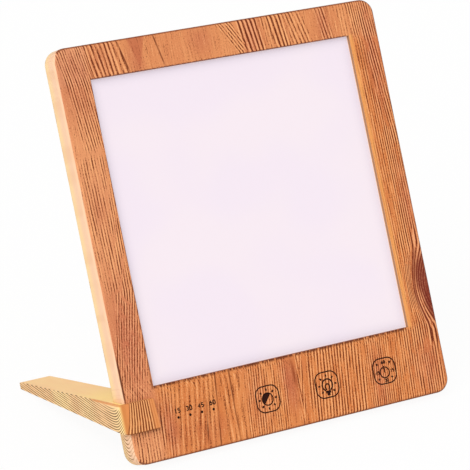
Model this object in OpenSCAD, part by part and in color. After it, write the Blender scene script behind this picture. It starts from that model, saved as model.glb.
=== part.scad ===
// Light therapy lamp: a thin edge-lit panel that leans back on one clip-on stand.
// Panel pieces are drawn flat, front face up at z = 0 and the panel's top edge towards +y,
// so a depth behind the front face is -z. stand_up() then leans the panel back on the table.

/* [Panel] */
// Width of the panel
panel_w = 200; // [190:1:240]
// Height of the panel
panel_h = 223.6; // [200:0.2:260]
// Thickness of the panel
panel_t = 13.4; // [13:0.1:16]
// Lean of the panel, back from upright, in degrees
lean = 23.4; // [18:0.1:28]
// Radius of the panel's four corners
corner_r = 8; // [6:0.5:14]
// Rounding of the front edge
front_edge_r = 2; // [1:0.1:2.2]
// Rounding of the rear edge
rear_edge_r = 2.5; // [2.2:0.1:2.8]
// Thickness of the front wall
front_wall = 2.5; // [2:0.1:2.8]
// Thickness of the side walls
side_wall = 2; // [1.6:0.1:2.4]
// Thickness of the rear cover
cover_wall = 2; // [1.6:0.1:2.2]

/* [Window] */
// Width of the borders beside the visible light area
border_side = 19.55; // [19.2:0.05:30]
// Height of the border over it
border_top = 19; // [17:0.1:30]
// Height of the border under it
border_bottom = 39.9; // [39:0.1:44]
// Slope of the window's edge: how much wider it is at the front
window_draft = 0.4; // [0.2:0.05:0.8]
// How far the diffuser reaches under the frame
diffuser_lap = 4; // [3:0.1:4.5]

/* [Light stack] */
// Thickness of the opal diffuser
diffuser_t = 1.5; // [1:0.1:1.8]
// Thickness of the light guide plate
guide_t = 3; // [2.8:0.1:3.4]
// Thickness of the reflector sheet
reflector_t = 0.4; // [0.2:0.05:0.5]
// Thickness of the aluminium back plate
plate_t = 0.8; // [0.5:0.05:1]
// LEDs in each row
led_count = 24; // [12:1:28]
// Length of one LED
led_l = 3.5; // [2.5:0.1:4]
// Width of one LED
led_w = 2.8; // [2:0.1:2.8]
// Height of one LED
led_t = 0.8; // [0.5:0.1:1]
// Thickness of an LED bar
bar_t = 1; // [0.8:0.1:1.6]

/* [Controls] */
// Height of the touch keys over the panel's bottom edge
key_h = 19; // [17:0.1:21]
// Distance of the last touch key from the panel's right edge
key_in = 40.4; // [38:0.1:48]
// Distance between touch keys
key_pitch = 37.5; // [34:0.1:39]
// Diameter of a touch pad
touch_d = 9; // [6:0.1:10]
// Distance of the first indicator dot from the panel's left edge
dot_in = 30; // [29:0.1:32]
// Distance between indicator dots
dot_pitch = 7.15; // [6:0.05:7.4]
// Height of the indicator dots
dot_h = 20.5; // [18:0.1:21]
// Diameter of a light pipe
pipe_d = 1.2; // [0.8:0.1:1.6]
// Thickness of the control board
board_t = 1.2; // [0.8:0.1:1.6]
// Clear height in front of the control board
board_gap = 3.5; // [3.2:0.1:3.8]

/* [Power inlet] */
// Height of the inlet over the panel's bottom edge
jack_h = 21; // [20:0.5:24]
// Outer size of the inlet's body across the board
jack_w = 9; // [8.6:0.1:10]
// Outer size of the inlet's body through the panel
jack_t = 6.4; // [6.3:0.1:6.5]
// Length of the inlet's body
jack_l = 10.5; // [9:0.1:11]
// Bore of the inlet, for a 5.5 mm plug
jack_bore = 5.9; // [5.7:0.1:6]
// Diameter of the inlet's centre pin
jack_pin_d = 2; // [1.6:0.1:2.4]

/* [Fasteners] */
// Diameter of the cover screws
screw_d = 2.6; // [2:0.1:3]
// Head diameter of the cover screws
screw_head_d = 4.8; // [4:0.1:5.2]
// Head height of the screws
screw_head_t = 1.2; // [0.8:0.1:1.3]
// Diameter of the bosses for the cover screws
boss_d = 6; // [5.6:0.1:6.4]
// Diameter of the board screws and the tray screws
small_screw_d = 2; // [1.6:0.1:2.4]
// Head diameter of the small screws
small_head_d = 3.8; // [3.2:0.1:4.2]
// Diameter of the small bosses
small_boss_d = 5; // [4.6:0.1:5.4]

/* [Stand] */
// Wall of the stand outside the panel's edge
clip_wall = 3.3; // [3:0.1:4.5]
// Thickness of the clip's lip in front of the panel
clip_lip = 2.5; // [2.2:0.1:3.5]
// How far the clip reaches over the panel from its edge
clip_reach = 18.2; // [14:0.1:19]
// How far the lip's lower end stays inside the arm's side
lip_in = 0.6; // [0:0.1:1.5]
// How much shorter the lip is at its top than at its bottom
lip_slant = 1.1; // [0:0.1:3]
// Rounding of the lip's two end corners
lip_corner_r = 1.5; // [0.5:0.1:3]
// Height of the clip's underside over the panel's bottom edge
clip_h = 18.1; // [16:0.1:22]
// Height of the clip at the panel's front face
clip_tall = 15.9; // [13:0.1:18]
// How far behind the front face the arm meets the table
arm_reach = 123.4; // [110:0.1:135]
// Thickness of the arm's tip
tip_t = 3.8; // [2.6:0.1:4.4]
// Rounding of the clip's front corner
clip_corner_r = 5; // [4:0.1:5.4]
// Rounding of the tip's outer corner
tip_corner_r = 2; // [1:0.1:4]
// Rounding of the tip's inner corner
tip_inner_r = 4; // [1:0.1:5]
// How much narrower the arm is at its tip than at the clip
arm_taper = 3; // [0:0.1:4]
// Wall of the hollow arm
arm_wall = 2.2; // [1.6:0.1:2.6]
// Cross ribs under the arm
arm_ribs = 4; // [2:1:5]
// Thickness of a rib
rib_t = 1.5; // [1:0.1:2]
// Thickness of the stand's grip pads
grip_t = 0.75; // [0.6:0.05:0.9]
// Thickness of the stand's foot pad
foot_t = 1.6; // [1.4:0.1:1.8]

/* [Base pads] */
// Length of a base pad
base_pad_l = 22; // [12:1:40]
// Distance between the base pads' centres
base_pad_span = 136; // [100:1:160]
// How far the rubber pads stand proud
pad_proud = 0.3; // [0.2:0.05:0.5]

/* [Hidden] */
$fn = 96;
wire_fn = 24;
gap = 0.1;            // between stacked pieces
play = 0.05;          // radial room of a screw or a pad in its hole
slot_gap = 0.25;      // between the stand's slot and the panel
pad_gap = 0.1;        // between a grip pad and the panel
far = 400;            // longer than anything here
over = 1;             // how far a cut runs past a face

window_w = panel_w - 2 * border_side;
window_h = panel_h - border_top - border_bottom;
window_y = border_bottom + window_h / 2;
seam = panel_t - rear_edge_r;              // depth at which frame and cover meet
cover_in = panel_t - cover_wall;           // depth of the cover's inner face
skirt_t = 1.2;
skirt_in = 0.9;                            // how far the cover's skirt enters the frame

diffuser_w = window_w + 2 * diffuser_lap;
diffuser_h = window_h + 2 * diffuser_lap;
diffuser_end = front_wall + diffuser_t;
guide_edge = 0.5;                          // light guide is this much shorter than the diffuser
guide_room = 1.15;                         // and this much narrower at the LED sides
guide_w = diffuser_w - 2 * guide_room;
guide_h = diffuser_h - 2 * guide_edge;
guide_z = diffuser_end + gap;
guide_end = guide_z + guide_t;
reflector_z = guide_end + gap / 2;
plate_z = reflector_z + reflector_t + gap / 2;
plate_end = plate_z + plate_t;
led_x = guide_w / 2 + 2 * gap;             // inner face of the LEDs
bar_x = led_x + led_t;
flange_x = bar_x + bar_t;
flange_t = plate_t;
flange_out = flange_x + gap / 2 + flange_t;
tray_tab = 6.7;                            // how far the tray runs past the diffuser
tray_y0 = window_y - diffuser_h / 2 - tray_tab;
tray_y1 = window_y + diffuser_h / 2 + tray_tab;
tray_screw_in = 3.2;                       // tray screws from the tray's edge
tray_screw_x = 62;
bar_y0 = window_y - diffuser_h / 2;
bar_l = diffuser_h;
rib_room = 0.3;                            // cover ribs stop this short of the tray
locator_t = 1;
locator_gap = 0.3;

board_z = front_wall + board_gap;
board_end = board_z + board_t;
board_in = [20, 11.2];                     // board's ends from the panel's edges
board_x0 = -panel_w / 2 + board_in[0];
board_x1 = panel_w / 2 - board_in[1];
board_y0 = 5;
board_y1 = tray_y0 - 0.8;
keys_x = [for (i = [2:-1:0]) panel_w / 2 - key_in - i * key_pitch];
dots_x = [for (i = [0:3]) -panel_w / 2 + dot_in + i * dot_pitch];
hole_in = 3.2;                             // board screws from the board's edge
hole_low = 3;
board_holes = [
    [board_x0 + hole_in, board_y0 + hole_low], [board_x1 - 2 * hole_in, board_y0 + hole_low],
    [keys_x[0] - key_pitch / 2, board_y1 - hole_in], [keys_x[1] + key_pitch / 2, board_y1 - hole_in]
];
pipe_head_d = pipe_d + 1.2;
pipe_head_t = 2.4;
shroud_wall = 1;
shroud_room = 0.3;
shroud_out = pipe_head_d / 2 + shroud_room + shroud_wall;
chip = [1.6, 0.8, 0.7];                    // one indicator LED

// parts on the board's rear face: size, then place from the board's right end and bottom edge
mcu_size = [10, 6, 1.6];
mcu_at = [118, 8];
driver_size = [5, 4, 1.5];
driver_at = [52, 8];
coil_size = [8, 8, 3];
coil_at = [36, 10];
can_d = 3.8;
can_l = 9;
can_in = 25;
can_low = [6, 12];

// LED leads and their plugs on the board's front face
plug = [6, 4, 3];
plug_y = board_y1 - hole_in;
plug_room = 0.5;                           // between a plug and the shroud
plug_in = 14.8;                            // right plug from the board's end
plug_left_x = dots_x[0] - shroud_out - plug_room - plug[0] / 2;
plug_right_x = board_x1 - plug_in;
lead_d = 1.2;
lead_spread = 0.8;
lead_z = diffuser_end + gap + lead_d / 2;

jack_z = front_wall + 0.85 + jack_t / 2;   // depth of the inlet's axis
jack_x1 = panel_w / 2 - side_wall - gap / 2;
jack_x0 = jack_x1 - jack_l;
jack_floor = 1.2;
jack_pin_in = 1.6;                         // the pin starts this far inside the mouth

boss_in = 7.8;                             // cover screws from the panel's edge
boss_low = 10.5;
cover_screws = [
    [-panel_w / 2 + boss_in, boss_low], [panel_w / 2 - boss_in, boss_low],
    [-panel_w / 2 + boss_in, panel_h / 2], [panel_w / 2 - boss_in, panel_h / 2],
    [-panel_w / 2 + boss_in, panel_h - boss_in], [panel_w / 2 - boss_in, panel_h - boss_in]
];
boss_top = seam - 0.3;                     // depth of the bosses' top
screw_floor = 1.5;                         // head seat below the cover's outer face
screw_l = 6.4;
small_screw_l = 3.4;
tray_screws_xy = [for (x = [-1, 0, 1], y = [tray_y0 + tray_screw_in, tray_y1 - tray_screw_in])
    [x * tray_screw_x, y]];

// height of the panel's frame over the table, from the base pads' cut flats
pad_r = rear_edge_r + pad_proud;
pad_core = 1.2;
pad_cut = 0.3;
pad_axis_z = rear_edge_r * cos(lean) - (panel_t - rear_edge_r) * sin(lean);
lift = pad_r - pad_cut - pad_axis_z;

// side outline of the stand, as [depth, height] in the panel's frame
foot_clear = 0.05;
foot = [arm_reach, (arm_reach * sin(lean) - lift + foot_clear) / cos(lean)];
under_a = atan2(foot[1] - clip_h, foot[0]);
along = [cos(under_a), sin(under_a)];
upward = [-sin(under_a), cos(under_a)];
tip_r = tip_t / 2;
tip_c = foot - tip_r * along + tip_r * upward;
clip_top = [0, clip_h + clip_tall];
to_tip = tip_c - clip_top;
top_a = atan2(to_tip[1], to_tip[0]) + asin(tip_r / norm(to_tip));
lip_front = -clip_lip;
function under_h(n) = clip_h + n * tan(under_a);
function top_h(n) = clip_top[1] + n * tan(top_a);
function in_arm(s, w) = foot - s * along + w * upward;

arm_x0 = -panel_w / 2 - clip_wall;
arm_x1 = -panel_w / 2 + clip_reach;
grip_in = 3;                               // grip pads from the clip's edges
tip_x1 = arm_x1 - arm_taper;               // the arm's inner side at the tip
taper_n0 = panel_t + slot_gap + 6;         // where the arm starts to narrow
hollow_n0 = panel_t + slot_gap + 3;
hollow_short = 20;                         // the hollow ends this far from the tip
hollow_n1 = arm_reach - hollow_short;
foot_s0 = 1.6;                             // foot pad from the tip
foot_l = 10;
foot_proud = 0.6;
foot_side = 2.5;

// the whole lamp's box, to put the origin under its middle
y_front = front_edge_r * (sin(lean) + cos(lean) - 1);
tip_y = tip_c[0] * cos(lean) + tip_c[1] * sin(lean) + tip_r;
shift = [clip_wall / 2, -(y_front + tip_y) / 2, lift];

film = "#cf8a55";
film_pale = "#f2cf9e";
opal = "#f4ecf2";
clear_resin = "#dfeaf0";
white_film = "#fafafa";
metal = "#b9bcc0";
steel = "#8e9296";
board_green = "#2f6b45";
black = "#222222";
led_white = "#fff3c8";
foam = "#44444c";
wire_red = "#b03030";
rubber = "#8a6a4c";

// ---- placing and outlines ----

module stand_up() {
    translate(shift) rotate([90 - lean, 0, 0]) children();
}

// what lies between two depths behind the front face
module layer(n0, n1) {
    translate([0, 0, -n1]) linear_extrude(n1 - n0) children();
}

// a 2D outline in [height, -depth], drawn out along the panel's width
module across(x0, x1) {
    translate([x0, 0, 0]) rotate([90, 0, 90]) linear_extrude(x1 - x0) children();
}

// a 2D outline in [x, -depth], drawn out along the panel's height
module upwards(h0, h1) {
    translate([0, h1, 0]) rotate([90, 0, 0]) linear_extrude(h1 - h0) children();
}

function side_point(p) = [p[1], -p[0]];

module round_rect(w, h, r) {
    square([w - 2 * r, h], center = true);
    square([w, h - 2 * r], center = true);
    for (x = [-1, 1], y = [-1, 1]) translate([x * (w / 2 - r), y * (h / 2 - r)]) circle(r);
}

module panel_rect(inset) {
    translate([0, panel_h / 2])
        round_rect(panel_w - 2 * inset, panel_h - 2 * inset, corner_r - inset);
}

// cross section of the panel over a span, with both edges rounded
module edge_section(span) {
    mid = panel_t - front_edge_r - rear_edge_r;
    translate([-span / 2, -front_edge_r - mid]) square([span, mid]);
    translate([-span / 2 + front_edge_r, -panel_t / 2]) square([span - 2 * front_edge_r, panel_t / 2]);
    translate([-span / 2 + rear_edge_r, -panel_t]) square([span - 2 * rear_edge_r, panel_t / 2]);
    for (s = [-1, 1]) {
        translate([s * (span / 2 - front_edge_r), -front_edge_r]) circle(front_edge_r);
        translate([s * (span / 2 - rear_edge_r), -panel_t + rear_edge_r]) circle(rear_edge_r);
    }
}

module corner_section() {
    intersection() {
        edge_section(2 * corner_r);
        translate([0, -panel_t]) square([corner_r, panel_t]);
    }
}

// the panel's outer form, with every edge rounded
module panel_form() {
    cx = panel_w / 2 - corner_r;
    for (x = [-cx, cx], y = [corner_r, panel_h - corner_r])
        translate([x, y, 0]) rotate_extrude() corner_section();
    across(-cx, cx) translate([panel_h / 2, 0]) edge_section(panel_h);
    upwards(corner_r, panel_h - corner_r) edge_section(panel_w);
}

module at(points, n) {
    for (p = points) translate([p[0], p[1], -n]) children();
}

// a cylinder that runs from depth n0 to depth n1
module post(d, n0, n1) {
    translate([0, 0, -n1]) cylinder(d = d, h = n1 - n0);
}

// ---- housing ----

module window_cut() {
    slab = 0.01;
    hull() {
        translate([0, window_y, -front_wall - over])
            linear_extrude(over) square([window_w, window_h], center = true);
        translate([0, window_y, 0]) linear_extrude(slab)
            square([window_w + 2 * window_draft, window_h + 2 * window_draft], center = true);
    }
}

module front_frame() {
    pilot = screw_d + 2 * play;
    small_pilot = small_screw_d + 2 * play;
    color(film) stand_up() difference() {
        union() {
            difference() {
                intersection() {
                    panel_form();
                    layer(-over, seam) square(3 * far, center = true);
                }
                layer(front_wall, panel_t) panel_rect(side_wall);
            }
            at(cover_screws, 0) post(boss_d, front_wall - gap, boss_top);
            at(tray_screws_xy, 0) post(small_boss_d, front_wall - gap, plate_z - gap / 2);
            at(board_holes, 0) post(small_boss_d, front_wall - gap, board_z - gap / 2);
            layer(front_wall - gap, diffuser_end) translate([0, window_y]) difference() {
                square([diffuser_w + 2 * (locator_gap + locator_t),
                    diffuser_h + 2 * (locator_gap + locator_t)], center = true);
                square([diffuser_w + 2 * locator_gap, diffuser_h + 2 * locator_gap], center = true);
            }
        }
        window_cut();
        at(cover_screws, 0) post(pilot, boss_top - screw_l, panel_t);
        at(tray_screws_xy, 0) post(small_pilot, plate_z - small_screw_l, panel_t);
        at(board_holes, 0) post(small_pilot, board_z - small_screw_l + gap, panel_t);
        for (x = dots_x) translate([x, dot_h, 0]) post(pipe_d + 2 * play, -over, front_wall + over);
        translate([panel_w / 2 - side_wall - over, jack_h, -jack_z])
            rotate([0, 90, 0]) cylinder(d = jack_bore, h = side_wall + 2 * over);
    }
}

module base_pad_form(r0, r1, n0, length) {
    for (s = [-1, 1]) intersection() {
        translate([s * base_pad_span / 2 - length / 2, rear_edge_r, -panel_t + rear_edge_r])
            rotate([0, 90, 0]) difference() {
                cylinder(r = r1, h = length);
                translate([0, 0, -over]) cylinder(r = r0, h = length + 2 * over);
            }
        translate([-far / 2, -far + rear_edge_r, -far - n0]) cube(far);
    }
}

module rear_cover() {
    rib_n = plate_end + rib_room;
    color(film) stand_up() difference() {
        union() {
            difference() {
                intersection() {
                    panel_form();
                    layer(seam + gap, panel_t + over) square(3 * far, center = true);
                }
                layer(0, cover_in) panel_rect(side_wall);
            }
            layer(seam - skirt_in, cover_in + gap) difference() {
                panel_rect(side_wall + gap);
                panel_rect(side_wall + gap + skirt_t);
            }
            at(cover_screws, 0) post(boss_d + 2, boss_top + gap, cover_in + gap);
            for (x = [-1, 0, 1]) layer(rib_n, cover_in + gap)
                translate([x * window_w / 3, window_y]) square([rib_t, window_h], center = true);
            for (y = [-1, 0, 1]) layer(rib_n, cover_in + gap)
                translate([0, window_y + y * window_h / 3]) square([window_w, rib_t], center = true);
        }
        at(cover_screws, 0) post(screw_d + 4 * play, 0, panel_t + over);
        at(cover_screws, 0) post(screw_head_d + 4 * play, panel_t - screw_floor, panel_t + over);
        base_pad_form(pad_core, rear_edge_r + over, seam + gap, base_pad_l + 2 * play);
    }
}

module base_pads() {
    color(rubber) difference() {
        stand_up() base_pad_form(pad_core + play, pad_r, seam + 2 * gap, base_pad_l);
        below_table();
    }
}

module below_table() {
    translate([-far / 2, -far / 2, -over - far]) cube([far, far, far + over]);
}

// ---- light stack ----

module diffuser_plate() {
    color(opal) stand_up() layer(front_wall, diffuser_end)
        translate([0, window_y]) square([diffuser_w, diffuser_h], center = true);
}

module light_guide_plate() {
    color(clear_resin) stand_up() layer(guide_z, guide_end)
        translate([0, window_y]) square([guide_w, guide_h], center = true);
}

module reflector_sheet() {
    color(white_film) stand_up() layer(reflector_z, reflector_z + reflector_t)
        translate([0, window_y]) square([guide_w, guide_h], center = true);
}

module back_plate() {
    color(metal) stand_up() difference() {
        union() {
            layer(plate_z, plate_end) translate([-flange_out, tray_y0])
                square([2 * flange_out, tray_y1 - tray_y0]);
            for (s = [-1, 1]) layer(guide_z + gap, plate_end)
                translate([s * (flange_out - flange_t / 2), window_y])
                    square([flange_t, bar_l], center = true);
        }
        at(tray_screws_xy, 0) post(small_screw_d + 4 * play, 0, panel_t);
    }
}

module led_bar(side) {
    color(board_green) stand_up() layer(guide_z, plate_z - gap)
        translate([side * (bar_x + bar_t / 2), window_y]) square([bar_t, bar_l], center = true);
}

module leds(side) {
    pitch = guide_h / led_count;
    mid = guide_z + guide_t / 2;
    color(led_white) stand_up() layer(mid - led_w / 2, mid + led_w / 2)
        for (i = [0:led_count - 1])
            translate([side * (led_x + led_t / 2), window_y + (i - (led_count - 1) / 2) * pitch])
                square([led_t, led_l], center = true);
}

// ---- control board ----

module control_board() {
    color(board_green) stand_up() layer(board_z, board_end) difference() {
        translate([board_x0, board_y0]) square([board_x1 - board_x0, board_y1 - board_y0]);
        for (p = board_holes) translate(p) circle(d = small_screw_d + 4 * play);
        translate([jack_x0 - gap, jack_h - jack_w / 2 - gap])
            square([far, jack_w + 2 * gap]);
    }
}

module on_board(size, place) {
    stand_up() layer(board_end, board_end + size[2])
        translate([board_x1 - place[0], board_y0 + place[1]])
            square([size[0], size[1]], center = true);
}

module microcontroller() {
    color(black) on_board(mcu_size, mcu_at);
}

module led_driver() {
    color(black) on_board(driver_size, driver_at);
}

module inductor() {
    color(foam) on_board(coil_size, coil_at);
}

module smoothing_capacitors() {
    color(metal) stand_up() for (y = can_low)
        translate([board_x1 - can_in, board_y0 + y, -board_end - can_d / 2])
            rotate([0, 90, 0]) cylinder(d = can_d, h = can_l);
}

module dc_jack() {
    color(black) stand_up() difference() {
        translate([jack_x0, jack_h - jack_w / 2, -jack_z - jack_t / 2])
            cube([jack_l, jack_w, jack_t]);
        translate([jack_x0 + jack_floor, jack_h, -jack_z])
            rotate([0, 90, 0]) cylinder(d = jack_bore, h = jack_l);
    }
}

module dc_jack_pin() {
    color(steel) stand_up() translate([jack_x0 + jack_floor, jack_h, -jack_z])
        rotate([0, 90, 0]) cylinder(d = jack_pin_d, h = jack_l - jack_floor - jack_pin_in);
}

module indicator_leds() {
    color(led_white) stand_up() layer(board_z - chip[2], board_z) for (x = dots_x)
        translate([x, dot_h]) square([chip[0], chip[1]], center = true);
}

module indicator_light_pipes() {
    color(black) stand_up() for (x = dots_x) translate([x, dot_h, 0]) {
        post(pipe_d, 0, front_wall + gap);
        post(pipe_head_d, front_wall, front_wall + pipe_head_t);
    }
}

module indicator_shroud() {
    length = 3 * dot_pitch + 2 * shroud_out;
    color(black) stand_up() layer(front_wall + gap, board_z - gap) difference() {
        translate([dots_x[0] - shroud_out, dot_h - shroud_out])
            square([length, 2 * shroud_out]);
        for (x = dots_x) translate([x, dot_h]) circle(shroud_out - shroud_wall);
    }
}

module touch_pad(x) {
    color(foam) stand_up() translate([x, key_h, 0]) post(touch_d, front_wall, board_z);
}

module brightness_touch_pad() {
    touch_pad(keys_x[0]);
}

module power_touch_pad() {
    touch_pad(keys_x[1]);
}

module timer_touch_pad() {
    touch_pad(keys_x[2]);
}

// ---- LED leads, held inside along their whole length ----

module led_connectors() {
    color(white_film) stand_up() layer(board_z - plug[2], board_z)
        for (x = [plug_left_x, plug_right_x]) translate([x, plug_y])
            square([plug[0], plug[1]], center = true);
}

// wire through a list of points, round at its bends
module wire(points) {
    for (i = [0:len(points) - 2]) {
        d = points[i + 1] - points[i];
        turn = atan2(d[1], d[0]);
        translate(points[i]) rotate([0, 0, turn]) rotate([0, 90, 0])
            cylinder(d = lead_d, h = norm(d), $fn = wire_fn);
        if (i > 0) translate(points[i]) sphere(d = lead_d, $fn = wire_fn);
    }
}

module led_leads(side, plug_x) {
    x0 = plug_x + side * plug[0] / 2;
    end_x = side * (bar_x + bar_t / 2);
    color(wire_red) stand_up() for (k = [-1, 1]) {
        y = plug_y + k * lead_spread;
        x = end_x - side * k * lead_spread;
        wire([[x0, y, -lead_z], [x, y, -lead_z], [x, bar_y0, -lead_z]]);
    }
}

module led_leads_left() {
    led_leads(-1, plug_left_x);
}

module led_leads_right() {
    led_leads(1, plug_right_x);
}

// ---- screws ----

module screw(d, head_d, seat, length) {
    post(d, seat - length, seat + gap);
    difference() {
        post(head_d, seat, seat + screw_head_t);
        slot_w = head_d / 6;
        translate([0, 0, -seat - screw_head_t]) {
            cube([head_d * 0.6, slot_w, screw_head_t], center = true);
            cube([slot_w, head_d * 0.6, screw_head_t], center = true);
        }
    }
}

module cover_screws() {
    seat = panel_t - screw_floor;
    color(steel) stand_up() at(cover_screws, 0)
        screw(screw_d, screw_head_d, seat, seat - boss_top + screw_l - gap);
}

module tray_screws() {
    color(steel) stand_up() at(tray_screws_xy, 0)
        screw(small_screw_d, small_head_d, plate_end, small_screw_l + plate_t - gap);
}

module board_screws() {
    color(steel) stand_up() at(board_holes, 0)
        screw(small_screw_d, small_head_d, board_end, small_screw_l + board_t - 2 * gap);
}

// ---- stand ----

module arm_outline() {
    a = in_arm(tip_r, 0);
    b = tip_c + tip_r * [-sin(top_a), cos(top_a)];
    polygon([for (p = [[lip_front, under_h(lip_front)], a, tip_c, b, [lip_front, top_h(lip_front)]])
        side_point(p)]);
    translate(side_point(tip_c)) circle(tip_r);
}

// the stand seen from above, with its rounded corners
module arm_plan() {
    end = foot[0] + over;
    w = arm_x1 - arm_x0;
    difference() {
        translate([arm_x0, -end]) square([w, end - lip_front]);
        translate([arm_x0, -lip_front]) corner_cut(clip_corner_r, 1, -1);
        translate([arm_x0, -foot[0]]) corner_cut(tip_corner_r, 1, 1);
        taper_cut(end);
    }
}

// what is cut from the arm's inner side, which slants towards the tip's round inner corner
module taper_cut(end) {
    r = tip_inner_r;
    slant_a = atan2(arm_taper, foot[0] - taper_n0);
    centre = [tip_x1 + r * tan(slant_a) - r / cos(slant_a), r - foot[0]];
    difference() {
        polygon([[arm_x1, -taper_n0], [arm_x1 + over, -taper_n0], [arm_x1 + over, -end],
            [centre[0], -end], centre, centre + r * [cos(slant_a), -sin(slant_a)]]);
        translate(centre) circle(r);
    }
}

// what a round of radius r takes off a corner; sx and sy point into the stand
module corner_cut(r, sx, sy) {
    difference() {
        translate([sx > 0 ? -over : -r, sy > 0 ? -over - r : -r]) square([r + over, 2 * r + over]);
        translate([sx * r, sy * r]) circle(r);
        translate([sx > 0 ? -over : -r - over, sy > 0 ? r : -3 * r]) square([r + 2 * over, 2 * r]);
    }
}

// the slot that takes the panel's edge, with the panel's own rounded edges
module slot_plan() {
    x0 = -panel_w / 2 - slot_gap;
    front = slot_gap;
    back = -panel_t - slot_gap;
    translate([x0 + rear_edge_r, back]) square([far, front - back]);
    translate([x0, back + rear_edge_r])
        square([rear_edge_r + over, front - back - front_edge_r - rear_edge_r]);
    translate([x0 + front_edge_r, front - front_edge_r]) circle(front_edge_r);
    translate([x0 + rear_edge_r, back + rear_edge_r]) circle(rear_edge_r);
    translate([x0 + front_edge_r, 0]) square([rear_edge_r, front]);
}

// what is cut from the lip's end, which slants and has two rounded corners
module lip_trim() {
    top = clip_top[1];
    low = under_h(lip_front);
    x_low = arm_x1 - lip_in;
    slant_a = atan2(lip_slant, top - low);
    function mid(y) = [x_low - (y - low) * tan(slant_a) - lip_corner_r / cos(slant_a), y];
    c_top = mid(top - lip_corner_r);
    c_low = mid(low + lip_corner_r);
    outward = lip_corner_r * [cos(slant_a), sin(slant_a)];
    x0 = min(c_top[0], c_low[0]);
    translate([0, 0, slot_gap]) linear_extrude(far) difference() {
        translate([x0, low - over]) square([far, top - low + 2 * over]);
        translate(c_top) circle(lip_corner_r);
        translate(c_low) circle(lip_corner_r);
        polygon([[x0 - over, low], [c_low[0], low], c_low + outward, c_top + outward,
            [c_top[0], top], [x0 - over, top]]);
    }
}

module arm_hollow() {
    bay = (hollow_n1 - hollow_n0 + rib_t) / (arm_ribs + 1);
    for (i = [0:arm_ribs]) {
        n0 = hollow_n0 + i * bay;
        n1 = n0 + bay - rib_t;
        across(arm_x0 + arm_wall, tip_x1 - arm_wall) polygon([for (p = [
            [n0, under_h(n0) - over], [n1, under_h(n1) - over],
            [n1, top_h(n1) - arm_wall], [n0, top_h(n0) - arm_wall]]) side_point(p)]);
    }
}

module grip_pad_form(n0, n1, grow) {
    n = (n0 + n1) / 2;
    x0 = -panel_w / 2 + grip_in - grow;
    x1 = arm_x1 - lip_slant - grip_in / 2 + grow;
    y0 = under_h(n) + grip_in - grow;
    layer(n0, n1) translate([x0, y0]) square([x1 - x0, top_h(n) - grip_in + grow - y0]);
}

module foot_pad_form(s0, s1, w0, w1, inset) {
    across(arm_x0 + foot_side + inset, tip_x1 - foot_side - inset)
        polygon([for (p = [in_arm(s0, w0), in_arm(s1, w0), in_arm(s1, w1), in_arm(s0, w1)])
            side_point(p)]);
}

module stand_body() {
    color(film_pale) stand_up() difference() {
        intersection() {
            across(arm_x0, arm_x1) arm_outline();
            upwards(0, far / 2) arm_plan();
        }
        upwards(-over, far / 2) slot_plan();
        lip_trim();
        arm_hollow();
        foot_pad_form(foot_s0 - play, foot_s0 + foot_l + play, -over, foot_t - foot_proud, -play);
        grip_pad_form(-pad_gap - grip_t - play, 0, play);
        grip_pad_form(panel_t, panel_t + pad_gap + grip_t + play, play);
    }
}

module stand_foot_pad() {
    color(rubber) difference() {
        stand_up() foot_pad_form(foot_s0, foot_s0 + foot_l, -foot_proud,
            foot_t - foot_proud - play, 0);
        below_table();
    }
}

module stand_grip_pads() {
    color(rubber) stand_up() {
        grip_pad_form(-pad_gap - grip_t, -pad_gap, 0);
        grip_pad_form(panel_t + pad_gap, panel_t + pad_gap + grip_t, 0);
    }
}

front_frame();
rear_cover();
diffuser_plate();
light_guide_plate();
reflector_sheet();
back_plate();
led_bar(-1);  // led_bar_left
led_bar(1);  // led_bar_right
leds(-1);  // leds_left
leds(1);  // leds_right
control_board();
microcontroller();
led_driver();
inductor();
smoothing_capacitors();
dc_jack();
dc_jack_pin();
indicator_leds();
indicator_light_pipes();
indicator_shroud();
brightness_touch_pad();
power_touch_pad();
timer_touch_pad();
led_connectors();
led_leads_left();
led_leads_right();
cover_screws();
tray_screws();
board_screws();
base_pads();
stand_body();
stand_foot_pad();
stand_grip_pads();
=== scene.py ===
# %% [markdown]
# # Light therapy lamp
# A thin light panel in a wood-effect housing leans back on one clip-on stand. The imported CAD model
# is the frame for everything here: its pieces keep their shapes and get real finishes, and the
# printed marks on the front are added on top of them.

# %% Load the frame
import math

import bmesh
import bpy
from mathutils import Matrix, Vector


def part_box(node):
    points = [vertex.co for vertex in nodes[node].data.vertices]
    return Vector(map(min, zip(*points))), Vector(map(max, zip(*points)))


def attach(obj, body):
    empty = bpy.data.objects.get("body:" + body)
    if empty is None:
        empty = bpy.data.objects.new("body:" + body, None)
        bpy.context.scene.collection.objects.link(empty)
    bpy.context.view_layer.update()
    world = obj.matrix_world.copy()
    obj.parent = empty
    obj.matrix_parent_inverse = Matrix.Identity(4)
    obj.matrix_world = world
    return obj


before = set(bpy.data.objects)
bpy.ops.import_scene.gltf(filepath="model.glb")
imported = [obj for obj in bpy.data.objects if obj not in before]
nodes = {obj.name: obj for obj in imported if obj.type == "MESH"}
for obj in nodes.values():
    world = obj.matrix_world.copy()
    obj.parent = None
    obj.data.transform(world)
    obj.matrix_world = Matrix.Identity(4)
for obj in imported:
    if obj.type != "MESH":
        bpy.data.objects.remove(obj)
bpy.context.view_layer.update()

# %% [markdown]
# ## Where the panel is
# The panel leans back, so its own directions are not the scene's. Everything that is printed or
# patterned on it is easier to place along the panel: x across, h up the front from its bottom edge,
# and z out of the front, in millimetres. One matrix turns those into the scene's metres. The
# matrix is found from the solids themselves, so it follows them.

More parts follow.
